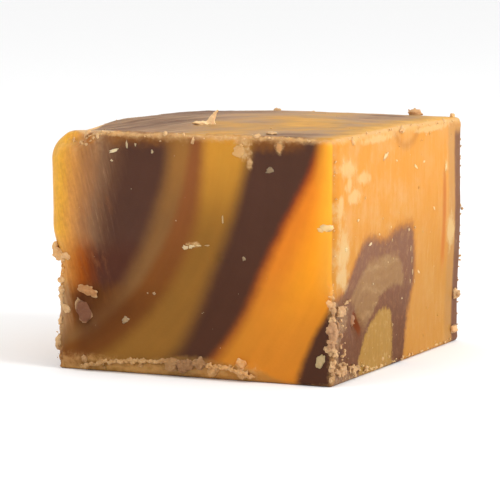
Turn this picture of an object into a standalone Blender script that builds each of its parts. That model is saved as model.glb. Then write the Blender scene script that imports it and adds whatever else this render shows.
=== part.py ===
"""A hand-cut block of two-colour marbled fudge, with the crumbs and torn flakes that the knife left on its edges.

Metres, +Z up. The underside lies flat at the level of the origin, which is the middle of all that
lies above it. The wide cut face with the broad slanting stripes looks along -Y, and the smeared
cut face on its right looks along +X.
Places on the block are given in box units: -1 to 1 from side to side along each axis.
"""

import math
import random

import bmesh
import bpy
from mathutils import Euler, Matrix, Vector, noise

# Driving dimensions of the block
WIDTH = 0.0275
DEPTH = 0.0320
HEIGHT = 0.0220
HALF = Vector((WIDTH, DEPTH, HEIGHT)) / 2
BLOCK_MIDDLE = Vector((0.00048, 0.00007, HALF.z))  # makes up for the bulging left side
GRID_CUTS = 16  # cuts across each side of the cube that becomes the block

# Rounding of the knife-cut edges, and how much more each upright edge is rounded at its top.
# The extra dies away quickly along the rims and slowly down the upright edges, and is gone at the foot.
EDGE_RADIUS = 0.00045
CORNER_EXTRA = {
    (-1, -1): 0.0027,
    (1, -1): 0.0005,
    (1, 1): 0.0002,
    (-1, 1): 0.0016,
}
RIM_REACH = 5
UPRIGHT_REACH = 0.5

# Soft unevenness of the cut faces, and the low crown of the poured top
WAVE_HEIGHT = 0.00028
WAVE_LENGTH = 0.0105
WAVE_PLACES = [Vector((3.7, 1.3, 8.1)), Vector((6.4, 9.2, 2.5)), Vector((1.9, 4.6, 5.8))]  # for x, y and z
TOP_CROWN = 0.00055

# How far the sides lean out towards the top. The left side also bulges above a height in box units.
LEFT_LEAN = 0.00045
LEFT_BULGE = 0.00105
BULGE_START = -0.18
BULGE_END = 0.20
BULGE_AT_BACK = 0.5
RIGHT_LEAN = 0.00030
STILL_FOOT = 0.0016  # the flat underside keeps its straight outline, and all moves freely from this height

# Burrs that the knife dragged out along an edge: start, end, way out, how far out, how wide
BURRS = {
    "front_foot": ((-0.94, -1, -0.93), (0.46, -1, -0.93), Vector((0, -1, 0)), 0.00040, 0.0007),
    "left_foot": ((-1, -0.96, -0.90), (-1, -0.96, -0.12), Vector((-1, -0.35, 0)), 0.00032, 0.0006),
    "nose_foot": ((1, -1, -0.92), (1, -1, -0.22), Vector((0.4, -1, 0)), 0.00036, 0.0006),
    "back_foot": ((-0.5, 1, -0.93), (0.9, 1, -0.93), Vector((0, 1, 0)), 0.00034, 0.0007),
    "front_rim": ((-0.70, -1, 0.99), (0.75, -1, 0.99), Vector((0, -0.5, 1)), 0.00012, 0.0005),
}
RAGGED_LENGTH = 0.0011

# Dents: place, radius, depth and the way the fudge was pressed or torn
DENTS = {
    "torn_notch": ((-0.80, -0.97, 0.98), 0.0013, 0.00085, Vector((0.25, 0.55, -1))),
    "front_dimple": ((0.20, -1, -0.03), 0.0006, 0.00035, Vector((0, 1, 0))),
    "chip_bed": ((-0.80, -1, -0.62), 0.0014, 0.00050, Vector((0.3, 1, 0))),
    "curl_bed": ((1, -0.66, -0.56), 0.0011, 0.00045, Vector((-1, 0, 0))),
    "left_rim_sag": ((-1, -0.50, 1), 0.0060, 0.00060, Vector((0.2, 0, -1))),
    "back_scoop": ((0.55, 1, -0.86), 0.0019, 0.00090, Vector((0, -1, 0.4))),
}
DENT_STEEPNESS = 1.4

# The flake that stands up on the top like a small curved horn
HORN = {
    "foot": (-0.09, -0.55, 0.99),
    "height": 0.00145,
    "half_width": 0.00055,
    "half_thickness": 0.00032,
    "lean": 0.00075,
    "sides": 6,
    "rings": 4,
}

# Crumbs that show one by one: place, half sizes, turn in degrees
LONE_CRUMBS = {
    "horn_foot": ((-0.15, -0.58, 1.01), (0.00080, 0.00045, 0.00026), (0, 4, 15)),
    "top_chip": ((0.50, -0.86, 1.01), (0.00062, 0.00042, 0.00020), (0, 0, 10)),
    "left_tuft": ((-0.99, -0.99, -0.05), (0.00085, 0.00050, 0.00075), (10, 20, 5)),
    "left_tuft_arm": ((-0.90, -1.00, -0.05), (0.00070, 0.00032, 0.00032), (0, 25, 0)),
    "left_tuft_tip": ((-1.02, -0.97, 0.02), (0.00036, 0.00030, 0.00048), (0, 0, 0)),
    "chip_cap": ((-0.76, -1.00, -0.33), (0.00110, 0.00044, 0.00050), (0, 16, 0)),
    "chip_flake": ((-0.81, -1.00, -0.50), (0.00090, 0.00030, 0.00140), (4, -10, 3)),
    "chip_spur": ((-0.93, -1.00, -0.50), (0.00050, 0.00026, 0.00045), (0, 50, 0)),
    "rim_smear": ((0.34, -1.00, 0.88), (0.00070, 0.00018, 0.00072), (0, -20, 0)),
    "rim_drip": ((0.62, -1.00, 0.91), (0.00034, 0.00018, 0.00052), (0, 10, 0)),
    "foot_clump_left": ((-0.13, -1.00, -0.88), (0.00085, 0.00050, 0.00075), (0, 8, 0)),
    "foot_clump_mid": ((-0.03, -1.00, -0.90), (0.00090, 0.00054, 0.00070), (0, -6, 8)),
    "foot_clump_right": ((0.08, -1.00, -0.88), (0.00070, 0.00048, 0.00068), (0, 12, 0)),
    "foot_spike": ((0.37, -1.00, -0.87), (0.00060, 0.00034, 0.00062), (0, 38, 0)),
    "nose_flake": ((0.91, -1.00, -0.79), (0.00050, 0.00028, 0.00075), (0, 12, 0)),
    "nose_shelf": ((1.00, -0.90, -0.42), (0.00040, 0.00110, 0.00060), (-12, 0, 0)),
    "nose_lump": ((1.00, -0.98, -0.58), (0.00045, 0.00050, 0.00110), (0, 4, 0)),
    "nose_foot_lump": ((1.00, -0.88, -0.86), (0.00046, 0.00120, 0.00065), (0, 0, 6)),
    "nose_foot_grain": ((1.00, -0.70, -0.91), (0.00036, 0.00060, 0.00050), (0, 0, 0)),
    "corner_bead": ((-1.01, -0.95, -0.82), (0.00042, 0.00042, 0.00068), (0, 8, 0)),
    "curl": ((1.00, -0.70, -0.52), (0.00030, 0.00055, 0.00070), (14, 0, 0)),
    "right_bead_high": ((1.01, 0.93, -0.56), (0.00050, 0.00075, 0.00058), (0, 0, 0)),
    "right_bead_low": ((1.01, 0.90, -0.88), (0.00046, 0.00062, 0.00052), (0, 10, 0)),
    "back_rim_bump": ((0.66, 0.96, 1.02), (0.00085, 0.00060, 0.00054), (0, 0, 4)),
    "back_rim_crumb": ((-0.37, 0.95, 1.00), (0.00045, 0.00040, 0.00028), (0, 0, 30)),
    "corner_point": ((0.95, 0.94, 1.00), (0.00030, 0.00030, 0.00040), (8, -6, 0)),
    "right_rim_flake": ((1.00, -0.02, 0.96), (0.00026, 0.00085, 0.00036), (0, 20, 8)),
    "scoop_crumb": ((0.50, 0.98, -0.78), (0.00080, 0.00055, 0.00065), (0, 20, 0)),
}

# Rows of crumbs along the edges: start, end, how many, smallest and largest half size
CRUMB_ROWS = {
    "front_foot": ((-0.88, -1, -0.92), (0.50, -1, -0.92), 14, 0.00024, 0.00060),
    "left_edge": ((-1, -0.97, -0.88), (-1, -0.97, -0.15), 8, 0.00024, 0.00050),
    "nose_edge": ((1, -1, -0.88), (1, -1, -0.30), 8, 0.00022, 0.00050),
    "right_foot": ((1, -0.70, -0.95), (1, 0.86, -0.95), 6, 0.00018, 0.00036),
    "front_rim": ((-0.70, -1, 0.98), (0.90, -1, 0.98), 7, 0.00018, 0.00036),
    "right_rim": ((1, -0.80, 0.98), (1, 0.90, 0.98), 5, 0.00018, 0.00032),
    "back_edge": ((1, 0.98, -0.80), (1, 0.98, 0.85), 5, 0.00018, 0.00034),
    "back_foot": ((-0.90, 1, -0.92), (0.90, 1, -0.92), 12, 0.00024, 0.00062),
    "back_rim": ((-0.90, 1, 0.98), (0.85, 1, 0.98), 6, 0.00018, 0.00036),
    "left_foot": ((-1, -0.85, -0.93), (-1, 0.90, -0.93), 9, 0.00022, 0.00056),
    "left_rim": ((-1, -0.60, 0.96), (-1, 0.85, 0.96), 6, 0.00018, 0.00034),
    "far_edge": ((-1, 1, -0.85), (-1, 1, 0.70), 6, 0.00022, 0.00044),
}
ROW_SCATTER = 0.0005  # how far a crumb may lie from its row
CRUMB_SQUASH = (0.62, 1.25)  # least and greatest side of a crumb, as a share of its size
CRUMB_ROUGHNESS = 0.42
CRUMB_GRAIN = 1.5
FINE_CRUMB = 0.00045  # half size from which a crumb gets the finer mesh
FOOT_GAP = 0.00035  # crumbs stay this far above the surface that the block stands on
WELD = 1e-6
RANDOM_SEED = 29

CHOCOLATE_ORANGE = (0.36, 0.15, 0.04, 1.0)
WAXY_ROUGHNESS = 0.45


def clear_scene():
    for old in list(bpy.data.objects):
        bpy.data.objects.remove(old, do_unlink=True)


def fudge_material():
    """One colour for the whole block, halfway between its orange and its chocolate."""
    material = bpy.data.materials.new("marbled_fudge")
    material.use_nodes = True
    shader = material.node_tree.nodes["Principled BSDF"]
    shader.inputs["Base Color"].default_value = CHOCOLATE_ORANGE
    shader.inputs["Roughness"].default_value = WAXY_ROUGHNESS
    shader.inputs["Metallic"].default_value = 0.0
    material.diffuse_color = CHOCOLATE_ORANGE
    return material


def from_middle(place):
    """A place in box units, in metres from the middle of the box."""
    return Vector([along * half for along, half in zip(place, HALF)])


def corner_radius(place):
    """The rounding at a place in box units, from the plain edge and the upright edges near it."""
    radius = EDGE_RADIUS
    for corner, extra in CORNER_EXTRA.items():
        for side, along in zip(corner, place):
            extra *= ((1 + side * along) / 2) ** RIM_REACH
        radius += extra * ((1 + place[2]) / 2) ** UPRIGHT_REACH
    return radius


def rounded(place):
    """A place in box units, moved onto the box with rounded edges."""
    point = from_middle(place)
    radius = corner_radius(place)
    core = Vector([max(radius - half, min(half - radius, v)) for v, half in zip(point, HALF)])
    outward = point - core
    if outward.length > WELD:
        point = core + outward.normalized() * min(radius, outward.length)
    return point


def burr_move(point, start, end, way_out, height, width):
    """How a burr moves a point near the line from start to end: outwards, by a ragged amount."""
    first = from_middle(start)
    line = from_middle(end) - first
    along = (point - first).dot(line) / line.length_squared
    away = (point - first - line * max(0.0, min(1.0, along))).length
    ragged = 0.8 + 0.6 * noise.noise(point / RAGGED_LENGTH)
    return way_out.normalized() * height * ragged * math.exp(-((away / width) ** 2))


def dent_move(point, where, radius, depth, way_in):
    """How a dent moves a point near it."""
    away = (point - from_middle(where)).length / radius
    return way_in.normalized() * depth * math.exp(-DENT_STEEPNESS * away**2)


def lean_move(place):
    """How far the leaning sides move a point to the right; to the left is negative."""
    height = (1 + place[2]) / 2
    bulge = max(0.0, min(1.0, (place[2] - BULGE_START) / (BULGE_END - BULGE_START)))
    bulge *= bulge * (3 - 2 * bulge)
    fading = 1 + (BULGE_AT_BACK - 1) * (1 + place[1]) / 2
    left = (LEFT_LEAN * height + LEFT_BULGE * bulge) * fading * ((1 - place[0]) / 2) ** 2
    return RIGHT_LEAN * height * (1 + place[0]) / 2 - left


def surface(place):
    """The block's surface at a place in box units: rounded, wavy, crowned, burred and dented."""
    point = rounded(place)
    move = Vector([noise.noise(point / WAVE_LENGTH + start) for start in WAVE_PLACES]) * WAVE_HEIGHT
    move.x += lean_move(place)
    crown = (1 - place[0] ** 2) * (1 - place[1] ** 2)
    move.z += TOP_CROWN * crown * max(0.0, place[2]) ** 4
    for burr in BURRS.values():
        move += burr_move(point, *burr)
    for dent in DENTS.values():
        move += dent_move(point, *dent)
    return point + move * min(1.0, (point.z + HALF.z) / STILL_FOOT) + BLOCK_MIDDLE


def onto_surface(place):
    """The surface nearest to a place, and on past it by as much as the place lies outside the box."""
    inside = [max(-1.0, min(1.0, along)) for along in place]
    return surface(inside) + from_middle([along - kept for along, kept in zip(place, inside)])


def add_object(name, shape, collection):
    mesh = bpy.data.meshes.new(name)
    shape.to_mesh(mesh)
    shape.free()
    made = bpy.data.objects.new(name, mesh)
    collection.objects.link(made)
    return made


def make_block(material):
    """A finely cut cube whose points are moved onto the surface, closer together near its edges."""
    shape = bmesh.new()
    bmesh.ops.create_cube(shape, size=2.0)
    bmesh.ops.subdivide_edges(shape, edges=shape.edges[:], cuts=GRID_CUTS, use_grid_fill=True)
    for vertex in shape.verts:
        vertex.co = surface([math.sin(along * math.pi / 2) for along in vertex.co])
    bmesh.ops.triangulate(shape, faces=shape.faces[:])
    block = add_object("fudge", shape, bpy.context.scene.collection)
    block.data.materials.append(material)
    return block


def make_crumb(name, middle, half_sizes, turn, collection):
    """A rough nugget of broken fudge, kept just clear of the ground."""
    shape = bmesh.new()
    subdivisions = 2 if max(half_sizes) > FINE_CRUMB else 1
    bmesh.ops.create_icosphere(shape, subdivisions=subdivisions, radius=1.0)
    sizes = Matrix.Diagonal(Vector(half_sizes))
    for vertex in shape.verts:
        rough = 1 + CRUMB_ROUGHNESS * noise.noise(vertex.co * CRUMB_GRAIN + middle / RAGGED_LENGTH)
        vertex.co = middle + turn.to_matrix() @ (sizes @ (vertex.co * rough))
        vertex.co.z = max(FOOT_GAP, vertex.co.z)
    add_object(name, shape, collection)


def make_horn(collection):
    """A flat cone that leans over more and more towards its tip."""
    shape = bmesh.new()
    bmesh.ops.create_cone(
        shape, cap_ends=True, segments=HORN["sides"], radius1=1.0, radius2=0.25, depth=1.0
    )
    upright = [e for e in shape.edges if abs(e.verts[0].co.z - e.verts[1].co.z) > 0.5]
    bmesh.ops.subdivide_edges(shape, edges=upright, cuts=HORN["rings"])
    foot = onto_surface(HORN["foot"])
    for vertex in shape.verts:
        up = vertex.co.z + 0.5
        rough = 1 + CRUMB_ROUGHNESS * noise.noise(vertex.co * CRUMB_GRAIN * 2)
        vertex.co.x = vertex.co.x * HORN["half_width"] * rough + HORN["lean"] * up**2
        vertex.co.y *= HORN["half_thickness"] * rough
        vertex.co.z = up * HORN["height"]
    bmesh.ops.translate(shape, verts=shape.verts[:], vec=foot)
    bmesh.ops.triangulate(shape, faces=shape.faces[:])
    add_object("horn", shape, collection)


def make_crumbs(collection):
    make_horn(collection)
    for name, (place, half_sizes, degrees) in LONE_CRUMBS.items():
        turn = Euler([math.radians(angle) for angle in degrees])
        make_crumb(name, onto_surface(place), half_sizes, turn, collection)
    draw = random.Random(RANDOM_SEED)
    for row, (start, end, count, smallest, largest) in CRUMB_ROWS.items():
        for number in range(count):
            place = Vector(start).lerp(Vector(end), draw.random())
            place += Vector([draw.uniform(-1, 1) * ROW_SCATTER / half for half in HALF])
            place = [max(-1.0, min(1.0, along)) for along in place]
            size = smallest + (largest - smallest) * draw.random() ** 2
            half_sizes = [size * draw.uniform(*CRUMB_SQUASH) for _ in range(3)]
            turn = Euler([draw.uniform(0, math.tau) for _ in range(3)])
            make_crumb(f"{row}_{number}", surface(place), half_sizes, turn, collection)


def fuse(block, collection):
    """Joins the crumbs to the block with one Boolean union, and keeps only the joined solid."""
    join = block.modifiers.new("fuse_crumbs", "BOOLEAN")
    join.operation = "UNION"
    join.operand_type = "COLLECTION"
    join.collection = collection
    join.solver = "EXACT"
    whole = bpy.data.meshes.new_from_object(block.evaluated_get(bpy.context.evaluated_depsgraph_get()))
    whole.name = "fudge_with_crumbs"
    block.modifiers.clear()
    block.data = whole
    for crumb in list(collection.objects):
        bpy.data.objects.remove(crumb, do_unlink=True)
    bpy.data.collections.remove(collection)


def drop_scraps(block):
    """Deletes every crumb that didn't touch the block."""
    shape = bmesh.new()
    shape.from_mesh(block.data)
    bmesh.ops.remove_doubles(shape, verts=shape.verts[:], dist=WELD)
    left = set(shape.verts)
    bodies = []
    while left:
        body = {left.pop()}
        border = set(body)
        while border:
            border = {e.other_vert(v) for v in border for e in v.link_edges} - body
            body |= border
        left -= body
        bodies.append(body)
    bodies.sort(key=len)
    for scrap in bodies[:-1]:
        bmesh.ops.delete(shape, geom=list(scrap), context="VERTS")
    shape.to_mesh(block.data)
    shape.free()


def main():
    clear_scene()
    block = make_block(fudge_material())
    crumbs = bpy.data.collections.new("crumbs")
    bpy.context.scene.collection.children.link(crumbs)
    make_crumbs(crumbs)
    fuse(block, crumbs)
    drop_scraps(block)


main()
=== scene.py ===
import math
import random

import bmesh
import bpy
from mathutils import Euler, Matrix, Vector, kdtree, noise


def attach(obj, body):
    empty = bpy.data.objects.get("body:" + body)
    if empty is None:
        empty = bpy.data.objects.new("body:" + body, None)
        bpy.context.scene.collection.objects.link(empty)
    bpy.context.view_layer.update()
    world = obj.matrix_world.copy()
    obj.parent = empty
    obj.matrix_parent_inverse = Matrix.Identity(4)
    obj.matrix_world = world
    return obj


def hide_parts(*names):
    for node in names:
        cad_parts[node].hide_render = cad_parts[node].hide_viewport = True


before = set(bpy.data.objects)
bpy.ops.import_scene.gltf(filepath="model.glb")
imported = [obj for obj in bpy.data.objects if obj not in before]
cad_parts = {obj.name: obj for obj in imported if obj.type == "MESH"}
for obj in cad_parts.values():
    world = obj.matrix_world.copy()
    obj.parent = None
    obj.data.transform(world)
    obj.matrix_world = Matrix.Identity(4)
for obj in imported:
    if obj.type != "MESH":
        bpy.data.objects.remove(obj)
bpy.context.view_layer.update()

# A hand-cut block of marbled fudge. Metres, +Z up, the wide striped face looks along -Y.
# Places on the block are in box units: -1 to 1 from side to side along each axis.

body = "root"
node = "fudge"
millimetre = 0.001

block = {
    "size": (0.0275, 0.0320, 0.0220),
    "middle": (0.00048, 0.00007),  # makes up for the bulging left side
    "gridCuts": 126,
    "edgePull": 0.55,  # how far the grid is drawn towards the edges, 0 even and 1 most
    "edgeRadius": 0.00045,
    "cornerExtra": {(-1, -1): 0.0027, (1, -1): 0.0005, (1, 1): 0.0002, (-1, 1): 0.0016},
    "rimReach": 16,  # how closely the wide rounding keeps to its upright edge
    "uprightReach": 0.5,
    "roundedBand": 0.0032,  # how near an edge the rounding is worked out
    "waveHeight": 0.00028,
    "waveLength": 0.0105,
    "wavePlaces": ((3.7, 1.3, 8.1), (6.4, 9.2, 2.5), (1.9, 4.6, 5.8)),
    "topCrown": 0.00055,
    "leftLean": 0.00045,
    "leftBulge": 0.00105,
    "bulgeRise": (-0.18, 0.20),
    "bulgeAtBack": 0.5,
    "rightLean": 0.00030,
    "stillFoot": 0.0016,
}
half = Vector(block["size"]) / 2
middle = Vector((*block["middle"], half.z))

# burrs along the edges: start, end, way out, how far out, how wide
burrs = {
    "frontFoot": ((-0.94, -1, -0.93), (0.46, -1, -0.93), Vector((0, -1, 0)), 0.00040, 0.0007),
    "leftFoot": ((-1, -0.96, -0.90), (-1, -0.96, -0.12), Vector((-1, -0.35, 0)), 0.00032, 0.0006),
    "noseFoot": ((1, -1, -0.92), (1, -1, -0.22), Vector((0.4, -1, 0)), 0.00036, 0.0006),
    "backFoot": ((-0.5, 1, -0.93), (0.9, 1, -0.93), Vector((0, 1, 0)), 0.00034, 0.0007),
    "frontRim": ((-0.70, -1, 0.99), (0.75, -1, 0.99), Vector((0, -0.5, 1)), 0.00012, 0.0005),
}
raggedLength = 0.0011
burrBand = 0.0025  # how near an edge they are worked out
burrReach = 3  # and how many of their widths away from their line

# dents: place, radius, depth, way in
dents = {
    "tornNotch": ((-0.80, -0.97, 0.98), 0.0013, 0.00085, Vector((0.25, 0.55, -1))),
    "frontDimple": ((0.20, -1, -0.03), 0.0006, 0.00035, Vector((0, 1, 0))),
    "chipBed": ((-0.80, -1, -0.62), 0.0014, 0.00050, Vector((0.3, 1, 0))),
    "curlBed": ((1, -0.66, -0.56), 0.0011, 0.00045, Vector((-1, 0, 0))),
    "leftRimSag": ((-1, -0.50, 1), 0.0060, 0.00060, Vector((0.2, 0, -1))),
    "backScoop": ((0.55, 1, -0.86), 0.0019, 0.00090, Vector((0, -1, 0.4))),
}
dentSteepness = 1.4
dentReach = 2.6  # in radii

# relief finer than the solid's: height of each, and the length it repeats over
fineRelief = {
    "crag": (0.00016, 0.00042),
    "rimCrag": (0.00008, 0.00034),
    "skin": (0.000022, 0.0011),
    "drag": (0.000014, 0.00045, 0.0042),  # height, length across and length along
    "patch": (0.0031, Vector((5, 2, 9))),  # length and place of the noise that thins the rims out
    "rimBand": 0.0012,  # how near an edge the block is crumbly
    "rimFade": 0.00042,  # and where that has mostly faded
    "uprightShare": 0.15,  # the upright edges are smoother
    "burrBand": 0.0020,
    "burrFade": (2.4, 1.15),  # in widths of a burr: where it ends, and where it has mostly faded
    "burrWear": (0.0005, 0.0004),  # length of its patches, and the height that counts in full
}


def fromMiddle(place):
    return Vector([along * side for along, side in zip(place, half)])


def cornerRadius(place):
    radius = block["edgeRadius"]
    for corner, extra in block["cornerExtra"].items():
        for side, along in zip(corner, place):
            extra *= ((1 + side * math.sin(along * math.pi / 2)) / 2) ** block["rimReach"]
        radius += extra * ((1 + place[2]) / 2) ** block["uprightReach"]
    return radius


def rounded(place):
    point = fromMiddle(place)
    radius = cornerRadius(place)
    core = Vector([max(radius - side, min(side - radius, v)) for v, side in zip(point, half)])
    outward = point - core
    if outward.length > 1e-6:
        point = core + outward.normalized() * min(radius, outward.length)
    return point


def nearLine(point, start, end):
    first = fromMiddle(start)
    line = fromMiddle(end) - first
    along = max(0.0, min(1.0, (point - first).dot(line) / line.length_squared))
    return (point - first - line * along).length


def leanMove(place):
    height = (1 + place[2]) / 2
    start, end = block["bulgeRise"]
    bulge = max(0.0, min(1.0, (place[2] - start) / (end - start)))
    bulge *= bulge * (3 - 2 * bulge)
    fading = 1 + (block["bulgeAtBack"] - 1) * (1 + place[1]) / 2
    left = (block["leftLean"] * height + block["leftBulge"] * bulge) * fading
    return block["rightLean"] * height * (1 + place[0]) / 2 - left * ((1 - place[0]) / 2) ** 2


def surface(place):
    # the same form as the solid's
    edge = edgeDistance(place)
    point = rounded(place) if edge < block["roundedBand"] else fromMiddle(place)
    starts = block["wavePlaces"]
    move = Vector([noise.noise(point / block["waveLength"] + Vector(start)) for start in starts])
    move *= block["waveHeight"]
    move.x += leanMove(place)
    crown = (1 - place[0] ** 2) * (1 - place[1] ** 2)
    move.z += block["topCrown"] * crown * max(0.0, place[2]) ** 4
    if edge < burrBand:
        for start, end, wayOut, height, width in burrs.values():
            away = nearLine(point, start, end) / width
            if away < burrReach:
                ragged = 0.8 + 0.6 * noise.noise(point / raggedLength)
                move += wayOut.normalized() * height * ragged * math.exp(-(away**2))
    for where, radius, depth, wayIn in dents.values():
        away = (point - fromMiddle(where)).length / radius
        if away < dentReach:
            move += wayIn.normalized() * depth * math.exp(-dentSteepness * away**2)
    lift = min(1.0, (point.z + half.z) / block["stillFoot"])
    return point + move * lift + middle


def ontoSurface(place):
    inside = [max(-1.0, min(1.0, along)) for along in place]
    return surface(inside) + fromMiddle([along - kept for along, kept in zip(place, inside)])


def edgeDistance(place):
    # how far a place on the surface is from the nearest edge
    gaps = sorted((1 - abs(along)) * side for along, side in zip(place, half))
    return gaps[1]


def fineSurface(place, outward):
    # the form with its fine relief, and how pale and crumbly the surface is there
    point = fromMiddle(place)
    base = surface(place)
    crag, cragLength = fineRelief["crag"]
    rim, rimLength = fineRelief["rimCrag"]
    skin, skinLength = fineRelief["skin"]
    drag, dragAcross, dragAlong = fineRelief["drag"]
    worn, rise = 0.0, skin * noise.noise(base / skinLength)
    if outward.x > 0.5:
        rise += drag * noise.noise(Vector((0, base.y / dragAcross, base.z / dragAlong)))
    elif outward.z > 0.5:
        rise += drag * noise.noise(Vector((base.x / dragAcross, base.y / dragAlong, 0)))
    edge = edgeDistance(place)
    if edge < fineRelief["rimBand"]:
        patchLength, patchPlace = fineRelief["patch"]
        ragged = noise.noise(base / rimLength)
        near = math.exp(-((edge / fineRelief["rimFade"]) ** 2))
        patchy = max(0.0, 0.55 + noise.noise(base / patchLength + patchPlace))
        if abs(place[2]) * half.z < half.z - fineRelief["rimBand"]:
            near *= fineRelief["uprightShare"]
        rise += rim * ragged * near * patchy
        worn += near * patchy * (0.55 + 0.5 * ragged)
    if edge < fineRelief["burrBand"]:
        farthest, fade = fineRelief["burrFade"]
        wearLength, fullHeight = fineRelief["burrWear"]
        for start, end, _, height, width in burrs.values():
            away = nearLine(point, start, end) / width
            if away < farthest:
                near = math.exp(-((away / fade) ** 2))
                rough = abs(noise.noise(base / cragLength)) * 1.6
                rise += crag * (rough - 0.35) * near
                worn += near * (0.75 + 0.6 * noise.noise(base / wearLength)) * height / fullHeight
    lift = min(1.0, base.z / block["stillFoot"])
    return base + outward * rise * lift, max(0.0, min(1.0, worn))


def outwardAt(place):
    # the way out of the rounded form, which turns evenly round its edges
    point = fromMiddle(place)
    radius = max(cornerRadius(place), block["edgeRadius"])
    core = Vector([max(radius - side, min(side - radius, v)) for v, side in zip(point, half)])
    return (point - core).normalized()


def newPiece(name, shape):
    mesh = bpy.data.meshes.new(name)
    shape.to_mesh(mesh)
    shape.free()
    for face in mesh.polygons:
        face.use_smooth = True
    piece = bpy.data.objects.new(name, mesh)
    bpy.context.scene.collection.objects.link(piece)
    return piece


def makeBlock():
    shape = bmesh.new()
    bmesh.ops.create_cube(shape, size=2.0)
    bmesh.ops.subdivide_edges(shape, edges=shape.edges[:], cuts=block["gridCuts"], use_grid_fill=True)
    wear = shape.verts.layers.float.new("wear")
    for vertex in shape.verts:
        pulled = [a + (math.sin(a * math.pi / 2) - a) * block["edgePull"] for a in vertex.co]
        vertex.co, vertex[wear] = fineSurface(pulled, outwardAt(pulled))
    return newPiece("fudgeBlock", shape)


cubeBlock = makeBlock()
print("block made:", len(cubeBlock.data.polygons), "faces")

# The crumbs. The lone ones and the rows lie as they do in the solid.
horn = {
    "foot": (-0.09, -0.55, 0.99),
    "height": 0.00145,
    "halfWidth": 0.00055,
    "halfThickness": 0.00032,
    "lean": 0.00075,
    "sides": 16,
    "rings": 22,
    "tip": 0.22,  # how wide it ends, as a share of its foot
    "grain": 2.2,
    "roughness": 0.6,
    "stretch": 1.02,
    "sunk": 0.00002,
    "tinted": ((-0.09, -0.55, 1.02), (0.0013, 0.0006, 0.0017), (0, 0, 0)),  # like a lone crumb
}

# place, half sizes, turn in degrees
loneCrumbs = {
    "hornFoot": ((-0.15, -0.58, 1.01), (0.00080, 0.00045, 0.00026), (0, 4, 15)),
    "topChip": ((0.50, -0.86, 1.01), (0.00062, 0.00042, 0.00020), (0, 0, 10)),
    "leftTuft": ((-0.99, -0.99, -0.05), (0.00085, 0.00050, 0.00075), (10, 20, 5)),
    "leftTuftArm": ((-0.90, -1.00, -0.05), (0.00070, 0.00032, 0.00032), (0, 25, 0)),
    "leftTuftTip": ((-1.02, -0.97, 0.02), (0.00036, 0.00030, 0.00048), (0, 0, 0)),
    "chipCap": ((-0.76, -1.00, -0.33), (0.00110, 0.00044, 0.00050), (0, 16, 0)),
    "chipFlake": ((-0.80, -1.00, -0.51), (0.00105, 0.00030, 0.00140), (4, -10, 3)),
    "chipSpur": ((-0.93, -1.00, -0.50), (0.00050, 0.00026, 0.00045), (0, 50, 0)),
    "rimSmear": ((0.34, -1.00, 0.88), (0.00074, 0.00011, 0.00072), (0, -20, 0)),
    "rimDrip": ((0.62, -1.00, 0.91), (0.00034, 0.00018, 0.00052), (0, 10, 0)),
    "footClumpLeft": ((-0.13, -1.00, -0.88), (0.00085, 0.00050, 0.00075), (0, 8, 0)),
    "footClumpMid": ((-0.03, -1.00, -0.90), (0.00090, 0.00054, 0.00070), (0, -6, 8)),
    "footClumpRight": ((0.08, -1.00, -0.88), (0.00070, 0.00048, 0.00068), (0, 12, 0)),
    "footSpike": ((0.37, -1.00, -0.87), (0.00060, 0.00034, 0.00062), (0, 38, 0)),
    "noseFlake": ((0.91, -1.00, -0.79), (0.00050, 0.00028, 0.00075), (0, 12, 0)),
    "noseShelf": ((1.00, -0.90, -0.42), (0.00040, 0.00110, 0.00060), (-12, 0, 0)),
    "noseLump": ((1.00, -0.98, -0.58), (0.00045, 0.00050, 0.00110), (0, 4, 0)),
    "noseFootLump": ((1.00, -0.88, -0.86), (0.00046, 0.00120, 0.00065), (0, 0, 6)),
    "noseFootGrain": ((1.00, -0.70, -0.91), (0.00036, 0.00060, 0.00050), (0, 0, 0)),
    "cornerBead": ((-1.01, -0.95, -0.82), (0.00042, 0.00042, 0.00068), (0, 8, 0)),
    "curl": ((1.00, -0.70, -0.52), (0.00030, 0.00055, 0.00070), (14, 0, 0)),
    "rightBeadHigh": ((1.01, 0.93, -0.56), (0.00050, 0.00075, 0.00058), (0, 0, 0)),
    "rightBeadLow": ((1.01, 0.90, -0.88), (0.00046, 0.00062, 0.00052), (0, 10, 0)),
    "backRimBump": ((0.66, 0.96, 1.02), (0.00085, 0.00060, 0.00054), (0, 0, 4)),
    "backRimCrumb": ((-0.37, 0.95, 1.00), (0.00045, 0.00040, 0.00028), (0, 0, 30)),
    "cornerPoint": ((0.95, 0.94, 1.00), (0.00030, 0.00030, 0.00040), (8, -6, 0)),
    "rightRimFlake": ((1.00, -0.02, 0.96), (0.00026, 0.00085, 0.00036), (0, 20, 8)),
    "scoopCrumb": ((0.50, 0.98, -0.78), (0.00080, 0.00055, 0.00065), (0, 20, 0)),
}

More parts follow.
